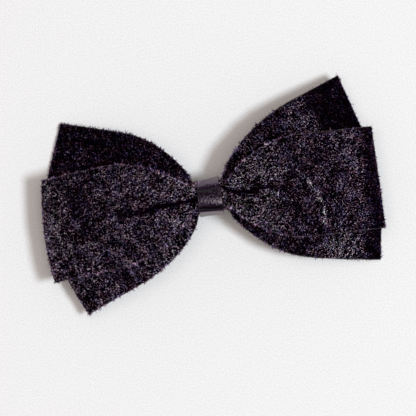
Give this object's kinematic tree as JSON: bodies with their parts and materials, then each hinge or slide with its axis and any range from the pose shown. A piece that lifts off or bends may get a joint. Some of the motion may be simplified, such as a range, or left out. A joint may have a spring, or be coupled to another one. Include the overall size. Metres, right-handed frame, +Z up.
{
  "type": "hair bow",
  "caption": "Layered velvet ribbon bow with looped ends, tied by a satin band, on a hinged spring hair clip.",
  "frame": {"origin": "on the surface that the bow lies on, under the middle of the bow", "axes": "+X along the bow towards the clip's hinge, +Y across the bow, +Z up through the knot, away from the clip"},
  "size_m": [0.1263, 0.0753, 0.0286],
  "materials": {
    "velvet": "crushed velvet, near-black aubergine",
    "satin": "satin ribbon, dark aubergine with a soft shine",
    "thread": "spun polyester sewing thread",
    "glue": "set hot-melt glue, milky",
    "clip_steel": "nickel-plated pressed steel",
    "spring_steel": "nickel-plated spring steel",
    "pin_steel": "plated rivet wire"
  },
  "bodies": {
    "bow": {"barrette_plate": "clip_steel", "hinge_pin": "pin_steel", "catch_base": "spring_steel", "catch_rivet": "pin_steel", "glue_pad": "glue", "back_ribbon_lower": "velvet", "back_ribbon_upper": "velvet", "back_thread": "thread", "front_ribbon": "velvet", "front_thread": "thread", "knot_band": "satin"},
    "arm": {"clasp_arm": "clip_steel"},
    "bar": {"tension_bar": "spring_steel"},
    "prong_front": {"catch_prong_front": "spring_steel"},
    "prong_back": {"catch_prong_back": "spring_steel"}
  },
  "joints": [
    {"name": "arm_hinge", "type": "hinge", "parent": "bow", "child": "arm", "pos_m": [0.0305, 0, 0.0022], "axis": [0, -1, 0], "range_deg": [0, 80]},
    {"name": "bar_flex", "type": "hinge", "parent": "bow", "child": "bar", "pos_m": [0.0255, 0, 0.0099], "axis": [0, 1, 0], "range_deg": [0, 1.5], "stiffness_Nm_per_rad": 1},
    {"name": "prong_front_flex", "type": "hinge", "parent": "bow", "child": "prong_front", "pos_m": [-0.0295, -0.00235, 0.0084], "axis": [1, 0, 0], "range_deg": [0, 6], "stiffness_Nm_per_rad": 0.3},
    {"name": "prong_back_flex", "type": "hinge", "parent": "bow", "child": "prong_back", "pos_m": [-0.0295, 0.00235, 0.0084], "axis": [-1, 0, 0], "range_deg": [0, 6], "stiffness_Nm_per_rad": 0.3}
  ]
}
